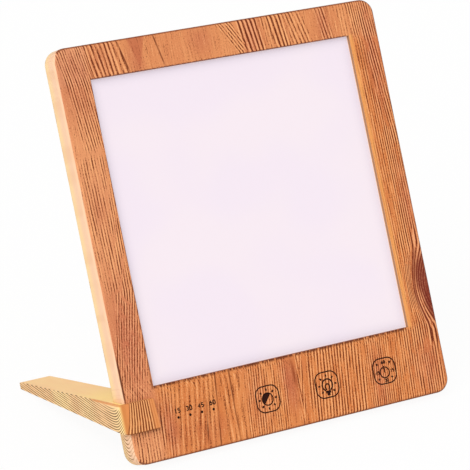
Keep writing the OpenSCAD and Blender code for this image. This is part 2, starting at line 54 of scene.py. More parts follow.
# %% The panel's own frame
MM = 0.001
LEAN = math.radians(23.4)
PANEL_W = 200.0
WINDOW_W, WINDOW_H, BORDER_LOW = 160.9, 164.7, 39.9
WINDOW_MID = BORDER_LOW + WINDOW_H / 2      # h of the window's middle
DIFFUSER_MID = -3.25                        # z of the middle of the diffuser's thickness


def panel_matrix():
    low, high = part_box("diffuser_plate")
    middle = (low + high) / 2
    turn = Matrix.Rotation(math.pi / 2 - LEAN, 4, "X")
    own_middle = Vector((0, WINDOW_MID, DIFFUSER_MID)) * MM
    return Matrix.Translation(middle - turn @ own_middle) @ turn @ Matrix.Scale(MM, 4)


PANEL = panel_matrix()
print("panel corner:", [round(v * 1000, 2) for v in PANEL @ Vector((-PANEL_W / 2, 0, 0))])


# %% [markdown]
# ## Tools for materials
# Colours are noted as the sRGB hex values that a paint chart would give, and one function turns
# them to the linear values that the shader wants. One helper adds a node together with its
# settings and its links, so each material reads as a list of what it is made of.

# %% Colours
def paint(hex_code):
    """An sRGB hex colour as the linear red, green, blue and alpha of the shader."""
    parts = [int(hex_code[i:i + 2], 16) / 255 for i in (1, 3, 5)]
    line = [p / 12.92 if p <= 0.04045 else ((p + 0.055) / 1.055) ** 2.4 for p in parts]
    return (*line, 1.0)


print("middle grey for the shader:", [round(v, 3) for v in paint("#808080")])


# %% Nodes
def add(tree, kind, links=None, **settings):
    """Adds one node: settings are its own properties, links are input values or sockets."""
    made = tree.nodes.new(kind)
    for name, value in settings.items():
        setattr(made, name, value)
    for name, value in (links or {}).items():
        if isinstance(value, bpy.types.NodeSocket):
            tree.links.new(value, made.inputs[name])
        else:
            made.inputs[name].default_value = value
    return made


def new_material(name):
    """An empty material and its node tree."""
    material = bpy.data.materials.new(name)
    material.use_nodes = True
    material.node_tree.nodes.clear()
    return material, material.node_tree


def finish_material(tree, shader):
    add(tree, "ShaderNodeOutputMaterial", {"Surface": shader.outputs[0]})


def panel_place(tree):
    """Object coordinates turned to millimetres along the panel: x, h, z."""
    where = add(tree, "ShaderNodeTexCoord").outputs["Object"]
    return add(tree, "ShaderNodeMapping", {
        "Vector": where, "Location": PANEL.translation,
        "Rotation": (math.pi / 2 - LEAN, 0, 0), "Scale": (MM, MM, MM)},
        vector_type="TEXTURE").outputs[0]


# %% [markdown]
# ## Wood-effect film
# The housing and the stand are moulded ABS with a printed wood-grain film. It could be a picture,
# but a pattern of formulas keeps its grain at any size. The film is built in three layers. The
# ground is a soft orange that wanders to reddish and to yellow. Over it run trains of thin lines:
# a train is a stretch of the film where the lines share one pitch and one lean. Noise makes the
# lines swell, wander and break. Last come the single features: the knot at the right, the pointed
# arches under the window, and the paler colour that wraps the sides, which is painted light.

# %% Places on the film
def panel_parts(tree):
    """A point's place on the panel, and its x, h and z apart."""
    place = panel_place(tree)
    split = add(tree, "ShaderNodeSeparateXYZ", {"Vector": place})
    return place, split.outputs[0], split.outputs[1], split.outputs[2]


def behind_front(tree, z):
    """How many millimetres a point lies behind the front face."""
    return add(tree, "ShaderNodeMath", {0: z, 1: -1.0}, operation="MULTIPLY").outputs[0]


def spot(tree, place, centre, size, turn=0.0):
    """A soft oval from 1 at its centre to 0 at its rim, in panel millimetres."""
    moved = add(tree, "ShaderNodeMapping", {
        "Vector": place, "Location": (*centre, 0),
        "Rotation": (0, 0, math.radians(turn)), "Scale": (*size, 1e6)}, vector_type="TEXTURE")
    far = add(tree, "ShaderNodeVectorMath", {0: moved.outputs[0]}, operation="LENGTH")
    return add(tree, "ShaderNodeMapRange", {
        "Value": far.outputs["Value"], "From Min": 0.0, "From Max": 1.0,
        "To Min": 1.0, "To Max": 0.0}, interpolation_type="SMOOTHSTEP").outputs[0]


def size_of(tree, value, middle=0.0):
    """How far value is from middle, either way."""
    off = add(tree, "ShaderNodeMath", {0: value, 1: middle}, operation="SUBTRACT").outputs[0]
    return add(tree, "ShaderNodeMath", {0: off}, operation="ABSOLUTE").outputs[0]


def cloud(tree, across, along, wide, long, detail=2.0, seed=0.0, rough=0.5):
    """Noise that is wide millimetres across the grain and long millimetres along it."""
    a = add(tree, "ShaderNodeMath", {0: across, 1: wide}, operation="DIVIDE").outputs[0]
    b = add(tree, "ShaderNodeMath", {0: along, 1: long}, operation="DIVIDE").outputs[0]
    spread = add(tree, "ShaderNodeCombineXYZ", {"X": a, "Y": b, "Z": seed}).outputs[0]
    return add(tree, "ShaderNodeTexNoise", {
        "Vector": spread, "Scale": 1.0, "Detail": detail, "Roughness": rough}).outputs["Fac"]


# %% Layers on layers
def weigh(tree, start, terms):
    """start plus each value times its weight."""
    total = start
    for value, weight in terms:
        total = add(tree, "ShaderNodeMath", {0: value, 1: weight, 2: total},
                    operation="MULTIPLY_ADD").outputs[0]
    return total


def between(tree, value, low, high, start=0.0, end=1.0):
    """value from low to high becomes start to end, softly, and stays there outside."""
    return add(tree, "ShaderNodeMapRange", {
        "Value": value, "From Min": low, "From Max": high, "To Min": start, "To Max": end},
        interpolation_type="SMOOTHSTEP").outputs[0]


def times(tree, *values):
    """All values multiplied."""
    total = values[0]
    for value in values[1:]:
        total = add(tree, "ShaderNodeMath", {0: total, 1: value}, operation="MULTIPLY").outputs[0]
    return total


def tint(tree, colour, amount, to):
    """colour, moved towards another by amount."""
    return add(tree, "ShaderNodeMix", {0: amount, 6: colour, 7: to}, data_type="RGBA").outputs[2]


# %% [markdown]
# ### Grain lines
# Lines could be drawn one by one, but there are hundreds. A cosine across the grain gives a whole
# train of them, and its two sides serve two ends: the crests become dark ink and the troughs the
# pale wood between. The few lines that stand alone are drawn by themselves.

# %% One line and one train
def lone_line(tree, across, along, centre, half, lean):
    """One thin line, half millimetres long to each side of its centre."""
    level = weigh(tree, across, [(along, lean)])
    near = size_of(tree, level, centre[0] + lean * centre[1])
    tall = size_of(tree, along, centre[1])
    return times(tree, between(tree, near, 0.1, 0.75, 0.85, 0.0),
                 between(tree, tall, half - 4.0, half + 2.0, 1.0, 0.0))


def train(tree, across, along, wander, centre, half, lean, pitch, strength):
    """One train of lines: +strength on the dark lines and -strength on the pale gaps.

    It covers half[0] millimetres to each side of centre and half[1] up and down, and its lines
    move lean millimetres across for each millimetre down.
    """
    level = weigh(tree, across, [(along, lean)])
    near = size_of(tree, level, centre[0] + lean * centre[1])
    tall = size_of(tree, along, centre[1])
    edge = min(1.2, half[0] * 0.6)
    turns = weigh(tree, wander, [(level, math.tau / pitch)])
    wave = add(tree, "ShaderNodeMath", {0: turns}, operation="COSINE").outputs[0]
    return times(tree, wave, between(tree, near, half[0] - edge, half[0] + edge, strength, 0.0),
                 between(tree, tall, half[1] - 3.0, half[1] + 3.0, 1.0, 0.0))


# %% Where the front's lines run
# centre (x, h), half size, lean, pitch, strength
TOP_TRAINS = [
    ((-72.0, 214), (8.5, 12), 0.14, 2.35, 1.35), ((-88.5, 214), (8.5, 12), 0.18, 1.45, 1.2),
    ((-61.5, 214), (2.6, 12), 0.20, 2.8, 1.1),
    ((8.6, 215), (4.6, 10), 0.62, 1.9, 1.2), ((19.5, 214), (6.2, 12), 0.15, 2.6, 2.0),
    ((30, 214), (2.6, 12), 0.10, 1.8, 0.8), ((37.2, 214), (4.6, 12), 0.15, 2.25, 2.0),
    ((48.5, 214), (6.4, 12), 0.25, 2.2, 0.9), ((66, 214), (3.4, 12), 0.15, 2.0, 1.3),
    ((77, 214), (6.0, 12), 0.05, 1.9, 0.5), ((91.5, 214), (8.5, 12), 0.06, 1.45, 1.3)]
SIDE_TRAINS = [
    ((-87, 188), (7.5, 20), 0.09, 1.5, 1.0), ((-90, 128), (8.5, 36), 0.02, 1.6, 0.85),
    ((-84, 118), (2.6, 34), -0.05, 1.3, 1.2), ((-89, 58), (10, 36), -0.22, 1.5, 1.0)]
RIGHT_TRAINS = [
    ((87, 128), (6.0, 76), 0.0, 1.5, 0.9), ((95.5, 176), (3.4, 36), 0.09, 1.6, 1.4),
    ((90.3, 190), (1.8, 26), 0.02, 1.6, 1.3), ((94.5, 118), (4.5, 34), 0.0, 1.45, 1.2),
    ((101, 60), (8, 32), -0.03, 2.7, 2.2), ((89, 58), (4.0, 34), 0.0, 1.7, 1.2)]
LOW_TRAINS = [
    ((-60, 19), (13, 22), -0.18, 2.9, 0.62), ((-89, 8), (9, 18), -0.05, 1.7, 0.9),
    ((-77, 19), (4.5, 22), -0.12, 1.8, 0.8), ((-36, 19), (6.5, 22), -0.04, 3.2, 0.5),
    ((-15, 19), (13, 22), -0.10, 1.5, 0.95), ((29.5, 19), (18.5, 22), -0.13, 1.9, 1.25),
    ((60, 19), (11.5, 22), -0.09, 1.4, 1.0), ((85, 19), (13.5, 22), -0.05, 1.6, 1.15)]
# lines that stand alone: centre (x, h), half length, lean
LONE_LINES = [((-38, 215), 9, 0.23), ((-46.0, 19), 24, -0.13), ((-35.5, 19), 24, -0.03),
              ((-54, 14), 12, -0.16), ((-59.5, 215), 10, 0.24)]
# centre, size, share of the reddish ground
RED_SPOTS = [
    ((-90, 205), (22, 40), 0.55), ((-70, 214), (12, 18), 0.35), ((-52, 214), (8, 22), 0.5),
    ((-12, 216), (12, 14), 0.5), ((20, 214), (10, 26), 0.65), ((66, 214), (7, 22), 0.65),
    ((94, 190), (10, 60), 0.7),
    ((-90, 66), (18, 54), 0.75), ((-91, 138), (8, 26), 0.35), ((97, 110), (9, 46), 0.6),
    ((98, 60), (15, 38), 1.0), ((-76, 16), (9, 28), 0.7), ((56, 16), (8, 34), 0.5),
    ((0, 24), (8, 26), 0.7), ((88, 16), (18, 30), 0.45), ((-20, 20), (14, 30), 0.35)]
print("grain:", len(TOP_TRAINS + SIDE_TRAINS + RIGHT_TRAINS + LOW_TRAINS), "trains,",
      len(LONE_LINES), "lone lines,", len(RED_SPOTS), "reddish spots")

# %% [markdown]
# ### The film's noises
# Real print is never even. A slow noise sways the lines, which also makes their rhythm wander, and
# a second one breaks them along their length. Streaks along the grain and a fine speckle are added
# to the trains, so over 0 the sum is ink and under 0 it is pale wood.

# %% Noises that all films share
def film_noise(tree, x, h):
    """The grain's sway, the wander of its lines, where they break, and the slow mottle."""
    sway = cloud(tree, x, h, 14.0, 80.0, detail=1.0, seed=3.7)
    wander = weigh(tree, -4.0, [(sway, 8.0)])
    breaks = between(tree, cloud(tree, x, h, 1.6, 15.0, seed=4.4), 0.34, 0.6, 0.42, 1.12)
    mottle = cloud(tree, x, h, 24.0, 34.0, detail=2.0, seed=9.4)
    return sway, wander, breaks, mottle


def fine_print(tree, x, h, grain, lines):
    """Streaks, speckle, and the sum of both with the lines."""
    streaks = cloud(tree, grain, h, 0.5, 11.0, detail=1.0, seed=2.2)
    speckle = cloud(tree, x, h, 0.45, 0.9, detail=0.0, seed=7.9)
    return streaks, speckle, weigh(tree, lines, [(streaks, 2.4), (speckle, 1.5), (1.0, -1.95)])


def satin_film(tree, colour, ink, rough):
    """Film on ABS: a satin coat with a weak shine, in which inked lines lie 0.1 mm deep."""
    relief = add(tree, "ShaderNodeBump", {
        "Strength": 0.25, "Distance": 0.0001, "Height": ink}, invert=True)
    finish_material(tree, add(tree, "ShaderNodeBsdfPrincipled", {
        "Base Color": colour, "Roughness": rough, "IOR": 1.46, "Specular IOR Level": 0.15,
        "Normal": relief.outputs[0]}))


# %% [markdown]
# ### The front's own print
# The front is built up in the order of a printer: first the ground with its paler and redder
# places, then the pale wood between the lines, then the ink, and last the dark features. The knot
# pushes the lines aside, which is done by moving x where the knot is, before the lines are drawn.

# %% The front's lines
KNOT = ((103, 60), (22, 27))          # centre and size of the place where the grain bends
ARCH_X, ARCH_PITCH = 4.5, 15.0        # middle of the pointed arches, and their distance
WEDGE_X = -50.2                       # the reddish wedge in the top border


def front_lines(tree, x, h, bent, wander):
    """All trains, those at the right bent round the knot, and the pointed arches."""
    signal = 0.0
    for row in TOP_TRAINS + SIDE_TRAINS + LOW_TRAINS:
        signal = weigh(tree, signal, [(train(tree, x, h, wander, *row), 1.0)])
    for row in RIGHT_TRAINS:
        signal = weigh(tree, signal, [(train(tree, bent, h, wander, *row), 1.0)])
    arch_x = size_of(tree, weigh(tree, x, [(h, -0.09)]), ARCH_X)
    arch = weigh(tree, h, [(arch_x, -10.0), (1.0, -12.0)])
    peaks = add(tree, "ShaderNodeMath", {0: times(tree, arch, math.tau / ARCH_PITCH)},
                operation="COSINE").outputs[0]
    return weigh(tree, signal, [(times(tree, peaks, between(tree, arch_x, 1.4, 2.8, 1.0, 0.0),
                                       between(tree, h, 36.0, 44.0, 1.0, 0.0)), 1.0)])


def front_grain(tree, place, x, h, sway):
    """x along the grain: it leans at the top left and in the lower border."""
    leaning = spot(tree, place, (-86, 214), (30, 60))
    low = between(tree, h, 34.0, 44.0, 1.0, 0.0)
    rise = add(tree, "ShaderNodeMath", {0: h, 1: 200.0}, operation="SUBTRACT").outputs[0]
    return weigh(tree, x, [(sway, 6.0), (times(tree, leaning, rise), 0.17),
                           (times(tree, low, h), -0.13)])


def front_ink(tree, x, h, sway, breaks, signal):
    """The trains' dark lines, and the ones that stand alone."""
    drift = weigh(tree, x, [(sway, 2.0), (1.0, -1.0)])
    alone = weigh(tree, 0.0, [(lone_line(tree, drift, h, *row), 1.0) for row in LONE_LINES])
    return add(tree, "ShaderNodeMath", {
        0: between(tree, signal, 0.1, 1.1), 1: times(tree, alone, breaks)},
        operation="MAXIMUM").outputs[0]


# %% The front's ground and features
def front_ground(tree, place, x, h, grain, mottle, signal):
    """The orange ground with its paler and redder places, and the pale wood between lines."""
    bands = cloud(tree, grain, h, 7.0, 90.0, detail=3.0, seed=5.5, rough=0.6)
    colour = tint(tree, paint("#db8a50"), between(tree, bands, 0.35, 0.65), paint("#cf7942"))
    colour = tint(tree, colour, between(tree, mottle, 0.5, 0.75, 0.0, 0.5), paint("#c46e43"))
    pale = weigh(tree, between(tree, x, -84.0, -78.0, 0.5, 0.0),
                 [(between(tree, h, 200.0, 206.0), 0.3)])
    colour = tint(tree, colour, pale, paint("#e19e76"))
    red = weigh(tree, 0.0, [(spot(tree, place, *row[:2]), row[2]) for row in RED_SPOTS])
    red = add(tree, "ShaderNodeClamp", {"Value": red}).outputs[0]
    colour = tint(tree, colour, red, paint("#b96446"))
    shine_colour = tint(tree, paint("#f8b47a"), times(tree, red, 0.8), paint("#eaa07a"))
    colour = tint(tree, colour, between(tree, signal, -0.15, -1.2, 0.0, 0.75), shine_colour)
    wedge = weigh(tree, -68.0, [(h, 0.33), (size_of(tree, x, WEDGE_X), -1.0)])
    return tint(tree, colour, between(tree, wedge, -0.3, 0.9, 0.0, 0.8), paint("#bf6c48"))


def knot_print(tree, place, h, bent, speckle, colour):
    """The knot's core, the dark line round it, and the dark flame inside the arches."""
    core = add(tree, "ShaderNodeMath", {
        0: between(tree, spot(tree, place, (98.5, 65), (10.5, 18)), 0.0, 0.5, 0.0, 0.84),
        1: between(tree, spot(tree, place, (99.5, 50), (6.5, 18), 12), 0.0, 0.5, 0.0, 0.92)},
        operation="MAXIMUM").outputs[0]
    core = times(tree, core, between(tree, speckle, 0.3, 0.7, 1.1, 0.75))
    brow = times(tree, between(tree, size_of(tree, bent, 94.9), 0.5, 1.5, 0.7, 0.0),
                 between(tree, size_of(tree, h, 60.0), 18.0, 24.0, 1.0, 0.0))
    core = add(tree, "ShaderNodeMath", {0: core, 1: brow}, operation="MAXIMUM").outputs[0]
    colour = tint(tree, colour, core, paint("#73281a"))
    flame = spot(tree, place, (3.6, 29), (2.0, 14), 3)
    return tint(tree, colour, times(tree, flame, 0.7), paint("#8a3c1c"))


# %% [markdown]
# ### Edges of the film
# The film is cut at the window, where a dashed dark line runs: partly a thin line of its dark
# backing, partly painted shade. The moulded wall behind the cut is painted lit at the right and
# shaded elsewhere. At the outer edge the film wraps round and is painted paler, as light. On the
# left that painted light starts a little before the edge, the other edges get a thin line of
# painted shade, and rings like those of sawn wood bow round the edge near the table.

# %% Window edge and side print
RING_PITCH = 2.1        # distance between the rings on the sides


def window_edge(tree, x, h, z, colour):
    """Adds the dashed dark line, partly painted shade, and the yellow strip at the right; the
    window's own wall gets painted light at the right and painted shade elsewhere.
    """
    from_h = size_of(tree, h, WINDOW_MID)
    out_x = add(tree, "ShaderNodeMath", {0: size_of(tree, x), 1: WINDOW_W / 2},
                operation="SUBTRACT").outputs[0]
    out_h = add(tree, "ShaderNodeMath", {0: from_h, 1: WINDOW_H / 2},
                operation="SUBTRACT").outputs[0]
    rim = add(tree, "ShaderNodeMath", {0: out_x, 1: out_h}, operation="MAXIMUM").outputs[0]
    dashes = between(tree, cloud(tree, x, h, 1.1, 6.0, seed=6.1), 0.4, 0.52, 0.25, 1.0)
    near_rim = times(tree, rim, between(tree, h, 40.0, 60.0, 0.45, 1.0))
    # a dashed dark line round the window: partly the film's dark backing, partly painted shade; not
    # at the right
    rim_backing_and_shade = times(tree, between(tree, near_rim, 0.35, 1.0, 0.92, 0.0),
                    between(tree, x, 77.0, 79.5, 1.0, 0.0), dashes)
    colour = tint(tree, colour, rim_backing_and_shade, paint("#5c2610"))
    strip = times(tree, between(tree, size_of(tree, x, 81.6), 0.8, 1.8, 0.55, 0.0),
                  between(tree, from_h, WINDOW_H / 2, WINDOW_H / 2 + 1.5, 1.0, 0.0))
    colour = tint(tree, colour, strip, paint("#f0a85f"))
    # painted light and shade on the window's wall: lit at the right, in shade at the left, top and
    # bottom
    wall = times(tree, between(tree, z, -0.2, -0.5), between(tree, rim, 0.5, 1.0, 1.0, 0.0))
    wall_lit_and_shaded = tint(tree, paint("#8a4a26"), between(tree, x, 77.0, 79.5), paint("#ffd9ac"))
    return tint(tree, colour, wall, wall_lit_and_shaded)


def side_print(tree, x, h, z, streaks, lines):
    """The sides' and back's print, painted paler than the front as light, with rings low on both
    sides.
    """
    depth = behind_front(tree, z)
    bowl = add(tree, "ShaderNodeMath", {0: size_of(tree, depth, 4.5), 1: 2.0},
               operation="POWER").outputs[0]
    ring_h = weigh(tree, h, [(bowl, -0.14)])
    rings = add(tree, "ShaderNodeMath", {0: times(tree, ring_h, math.tau / RING_PITCH)},
                operation="COSINE").outputs[0]
    ring_ink = times(tree, between(tree, rings, 0.1, 0.9),
                     between(tree, h, 15.0, 20.0, 0.95, 0.0),
                     between(tree, depth, 2.0, 6.0, 0.4, 1.0),
                     between(tree, size_of(tree, x), 97.5, 99.0))
    # painted light: the sides are painted paler and yellower than the front
    side = tint(tree, paint("#f0c6a4"), between(tree, depth, 4.0, 11.0), paint("#f3d29c"))
    side = tint(tree, side, between(tree, streaks, 0.4, 0.7, 0.0, 0.45), paint("#e6b48a"))
    side = tint(tree, side, lines, paint("#a9703c"))
    return tint(tree, side, ring_ink, paint("#835e2e"))


def wrap_edge(tree, x, h, z, colour, side):
    """The front's print to its edge, then the side's; on the left that painted light starts on the
    front, and the other edges get a thin line of painted shade.
    """
    # painted light: on the left the side's pale colour starts on the front, on the edge facing the
    # light
    left = between(tree, x, -98.6, -96.0, 1.0, 0.0)
    edge = weigh(tree, z, [(left, -1.75)])
    # painted shade: a thin dark line just behind the front face, on every edge but the left
    painted_edge_shade = times(tree, between(tree, z, -0.1, -0.6), between(tree, left, 0.0, 0.5, 0.75, 0.0))
    colour = tint(tree, colour, painted_edge_shade, paint("#713011"))
    colour = tint(tree, colour, between(tree, edge, -1.95, -2.3), side)
    seam = times(tree, between(tree, size_of(tree, edge, -1.9), 0.12, 0.32, 0.9, 0.0),
                 between(tree, size_of(tree, h, 46.0), 8.0, 16.0, 1.0, 0.0),
                 between(tree, x, -97.5, -96.8, 1.0, 0.0))
    return tint(tree, colour, seam, paint("#54220e"))


# %% [markdown]
# ### The two housing films
# The front frame gets the whole print. The rear cover shows only what lies behind the front edge,
# so its film is the side print with one wide train of faint lines.

# %% Films of the frame and the cover
def frame_film(name):
    """The whole print, from the ground up."""
    material, tree = new_material(name)
    place, x, h, z = panel_parts(tree)
    sway, wander, breaks, mottle = film_noise(tree, x, h)
    bent = weigh(tree, x, [(spot(tree, place, *KNOT), 14.0)])
    lines = times(tree, front_lines(tree, x, h, bent, wander), breaks)
    grain = front_grain(tree, place, x, h, sway)
    streaks, speckle, signal = fine_print(tree, x, h, grain, lines)
    ink = front_ink(tree, x, h, sway, breaks, signal)
    colour = front_ground(tree, place, x, h, grain, mottle, signal)
    colour = tint(tree, colour, times(tree, ink, 0.95), paint("#642308"))
    colour = knot_print(tree, place, h, bent, speckle, colour)
    colour = window_edge(tree, x, h, z, colour)
    colour = wrap_edge(tree, x, h, z, colour, side_print(tree, x, h, z, streaks, 0.0))
    satin_film(tree, colour, ink, between(tree, mottle, 0.3, 0.7, 0.42, 0.52))
    return material


def cover_film(name):
    """The side's print with faint lines."""
    material, tree = new_material(name)
    x, h, z = panel_parts(tree)[1:]
    sway, wander, breaks, mottle = film_noise(tree, x, h)
    grain = weigh(tree, x, [(sway, 6.0)])
    lines = times(tree, train(tree, grain, h, wander, (0, 110), (130, 130), 0.03, 2.4, 0.8),
                  breaks)
    streaks, _, signal = fine_print(tree, x, h, grain, lines)
    ink = between(tree, signal, 0.1, 1.1)
    colour = side_print(tree, x, h, z, streaks, times(tree, ink, 0.55))
    satin_film(tree, colour, ink, between(tree, mottle, 0.3, 0.7, 0.42, 0.52))
    return material


film_front = frame_film("printed_wood_film_front")
film_rear = cover_film("printed_wood_film_rear")
print("film materials:", film_front.name, film_rear.name)


# %% [markdown]
# ## The stand's film
# The stand has the same kind of film, but its print runs along the arm. Thin olive-brown lines
# leave the underside at a small angle and curl up where the arm meets the clip, and they cover
# the flanks only: the top of the arm is plain yellow and peach. The lip in front has a fan of
# dark stripes.

# %% Lines on the arm's flanks and stripes on the lip
ARM_X = -92.55                  # middle of the arm
ARM_HALF = 10.0                 # about half its width
CLIP_H = 18.1                   # underside of the clip, over the panel's bottom edge
LIP_MID = 26.0                  # half way up the lip
FLANK_PITCH, LIP_PITCH = 1.42, 1.5      # distance between lines, and between stripes


def flank_ink(tree, x, h, depth, sway):
    """Thin lines along the arm that curl up towards the clip."""
    curl = add(tree, "ShaderNodeMath", {0: 0.8, 1: depth}, operation="POWER").outputs[0]
    level = weigh(tree, h, [(depth, -0.40), (curl, -7.0)])
    turns = weigh(tree, -1.5, [(level, math.tau / FLANK_PITCH), (sway, 3.0)])
    wave = add(tree, "ShaderNodeMath", {0: turns}, operation="COSINE").outputs[0]
    breaks = between(tree, cloud(tree, level, depth, 1.4, 14.0, seed=4.1), 0.3, 0.55, 0.5, 1.0)
    flank = between(tree, size_of(tree, x, ARM_X), ARM_HALF - 0.3, ARM_HALF + 0.5)
    below = between(tree, weigh(tree, h, [(depth, -0.24)]), 30.2, 32.0, 1.0, 0.0)
    return times(tree, between(tree, wave, -0.25, 0.7), breaks, flank, below)


def lip_stripes(tree, x, h, sway):
    """A fan of stripes that opens to the left: its ink, and the pale wood between."""
    spread = weigh(tree, -1.522, [(x, -0.0175)])
    fan = weigh(tree, x, [(times(tree, spread, weigh(tree, h, [(1.0, -LIP_MID)])), -1.0)])
    turns = weigh(tree, times(tree, sway, 3.0), [(fan, math.tau / LIP_PITCH)])
    stripes = add(tree, "ShaderNodeMath", {0: turns}, operation="COSINE").outputs[0]
    striped = times(tree, between(tree, fan, -99.9, -99.1),
                    between(tree, fan, -87.0, -84.6, 1.0, 0.15))
    breaks = between(tree, cloud(tree, fan, h, 1.5, 5.0, seed=5.1), 0.3, 0.5, 0.45, 1.0)
    return (times(tree, between(tree, stripes, -0.3, 0.6), striped, breaks),
            times(tree, between(tree, stripes, -0.2, -0.9), striped, 0.75))


# %% The stand's film
def stand_film(name):
    """Arm and lip share one material, and the depth tells which is which."""
    material, tree = new_material(name)
    x, h, z = panel_parts(tree)[1:]
    depth = behind_front(tree, z)
    over_foot = weigh(tree, h, [(depth, -0.2465), (1.0, -CLIP_H)])
    sway = cloud(tree, depth, h, 22.0, 9.0, detail=1.0, seed=1.2)
    peach = between(tree, cloud(tree, x, depth, 9.0, 30.0, seed=6.6), 0.4, 0.6)
    side_ink = flank_ink(tree, x, h, depth, sway)
    lip_ink, lip_shine = lip_stripes(tree, x, h, sway)
    # painted shadow: a dark line along the bottom edge of the lip
    lip_foot_shadow = between(tree, over_foot, 0.15, 0.7, 0.9, 0.0)
    lip_ink = add(tree, "ShaderNodeMath", {0: lip_ink, 1: lip_foot_shadow}, operation="MAXIMUM").outputs[0]

    # the arm: peach and yellow, its top plain, with an orange ridge near the clip
    side_colour = tint(tree, paint("#f8d79c"), times(tree, peach, 0.7), paint("#f2bf8e"))
    top = times(tree, between(tree, size_of(tree, x, ARM_X), ARM_HALF, ARM_HALF + 0.6, 1.0, 0.0),
                between(tree, over_foot, 0.8, 1.6))
    top_colour = tint(tree, paint("#ffdf8e"), between(tree, depth, 25.0, 65.0), paint("#fbd196"))
    side_colour = tint(tree, side_colour, times(tree, top, 0.75), top_colour)
    ridge = times(tree, between(tree, weigh(tree, h, [(depth, -0.159)]), 32.6, 33.3),
                  between(tree, depth, 26.0, 38.0, 0.75, 0.0),
                  between(tree, x, -102.6, -101.6, 1.0, 0.0))
    side_colour = tint(tree, side_colour, ridge, paint("#d4823f"))
    side_colour = tint(tree, side_colour, times(tree, side_ink, 0.95), paint("#664824"))

    # the lip: orange, darker at its rounded end, which is painted shade
    lip_colour = tint(tree, paint("#db8a4f"), peach, paint("#cf7842"))
    lip_colour = tint(tree, lip_colour, between(tree, x, -101.5, -98.8, 0.9, 0.0), paint("#c47b40"))
    lip_colour = tint(tree, lip_colour, lip_shine, paint("#f6bc80"))
    lip_colour = tint(tree, lip_colour, times(tree, lip_ink, 0.9), paint("#632a0c"))

    lip = between(tree, z, -0.9, 1.3)
    satin_film(tree, tint(tree, side_colour, lip, lip_colour),
               tint(tree, side_ink, lip, lip_ink), 0.46)
    return material


film_stand = stand_film("printed_wood_film_stand")
print("film materials:", film_stand.name)


# %% [markdown]
# ## The lit window
# The diffuser is opal acrylic (PMMA), cast milky and lit from its edges. It could be lit by lamps
# behind it, but one sheet that glows a little and takes the room's light for the rest gives the
# same look and travels better. Its tint is a faint lilac. Towards the frame it darkens, which is
# painted shade where the frame's edge shades the window.

# %% Opal acrylic
# painted shade: the window darkens towards the frame from this far in
FRAME_SHADE_BAND = 7.0          # how far from the frame the window starts to dim
ROOM_SHARE = 0.55       # how much of the room's light the lit sheet gives back


def opal_acrylic(name):
    """Milky and softly lit; IOR 1.49 is that of acrylic."""
    material, tree = new_material(name)
    x, h = panel_parts(tree)[1:3]
    rim_x = between(tree, size_of(tree, x), WINDOW_W / 2 - FRAME_SHADE_BAND, WINDOW_W / 2)
    rim_h = between(tree, size_of(tree, h, WINDOW_MID), WINDOW_H / 2 - FRAME_SHADE_BAND, WINDOW_H / 2)
    rim = add(tree, "ShaderNodeMath", {0: rim_x, 1: rim_h}, operation="MAXIMUM").outputs[0]
    haze = cloud(tree, x, h, 60.0, 60.0, detail=1.0, seed=2.0)
    glow = tint(tree, paint("#f5e9f1"), between(tree, haze, 0.4, 0.6), paint("#f3e7f2"))
    # painted shade towards the frame, in the colour and so also in the glow
    glow = tint(tree, glow, times(tree, rim, 0.25), paint("#dcd3e4"))
    body = add(tree, "ShaderNodeMix", {0: 1.0, 6: glow, 7: (ROOM_SHARE,) * 3 + (1.0,)},
               data_type="RGBA", blend_type="MULTIPLY").outputs[2]
    finish_material(tree, add(tree, "ShaderNodeBsdfPrincipled", {
        "Base Color": body, "Roughness": 0.55, "IOR": 1.49, "Specular IOR Level": 0.3,
        "Emission Color": glow, "Emission Strength": 0.42}))
    return material


opal = opal_acrylic("opal_cast_acrylic")
print("window material:", opal.name)


# %% [markdown]
# ## The plainer finishes
# Rubber pads, black moulded ABS, screws and the parts inside each have a finish too. They share
# one recipe: a base colour that wanders a little, and a fine relief at the size of the real
# surface, such as 0.3 mm mould texture or 0.1 mm brush marks, drawn coarser where it would vanish.

# %% The recipe
PATCHES = 120.0         # per metre: the colour wanders over some 8 mm
RELIEF = 0.03 * MM      # depth of the grit


def plain_finish(name, base, second, rough, grit, gloss=0.5, metallic=0.0):
    """A finish from two colours, a roughness, and a grit in millimetres."""
    material, tree = new_material(name)
    where = add(tree, "ShaderNodeTexCoord").outputs["Object"]
    grain = add(tree, "ShaderNodeMapping", {
        "Vector": where, "Scale": (1 / (grit * MM), 1 / (grit * MM), 1 / (grit * MM))})
    fine = add(tree, "ShaderNodeTexNoise", {
        "Vector": grain.outputs[0], "Scale": 1.0, "Detail": 2.0}).outputs["Fac"]
    broad = add(tree, "ShaderNodeTexNoise", {
        "Vector": where, "Scale": PATCHES, "Detail": 2.0}).outputs["Fac"]
    colour = tint(tree, paint(base), between(tree, broad, 0.35, 0.65), paint(second))
    colour = tint(tree, colour, between(tree, fine, 0.4, 0.7, 0.0, 0.3), paint(second))
    relief = add(tree, "ShaderNodeBump", {
        "Strength": 0.4, "Distance": RELIEF, "Height": fine})
    shader = add(tree, "ShaderNodeBsdfPrincipled", {
        "Base Color": colour, "Metallic": metallic, "Specular IOR Level": gloss,
        "Roughness": between(tree, fine, 0.3, 0.7, rough - 0.05, rough + 0.05),
        "Normal": relief.outputs[0]})
    finish_material(tree, shader)
    return material


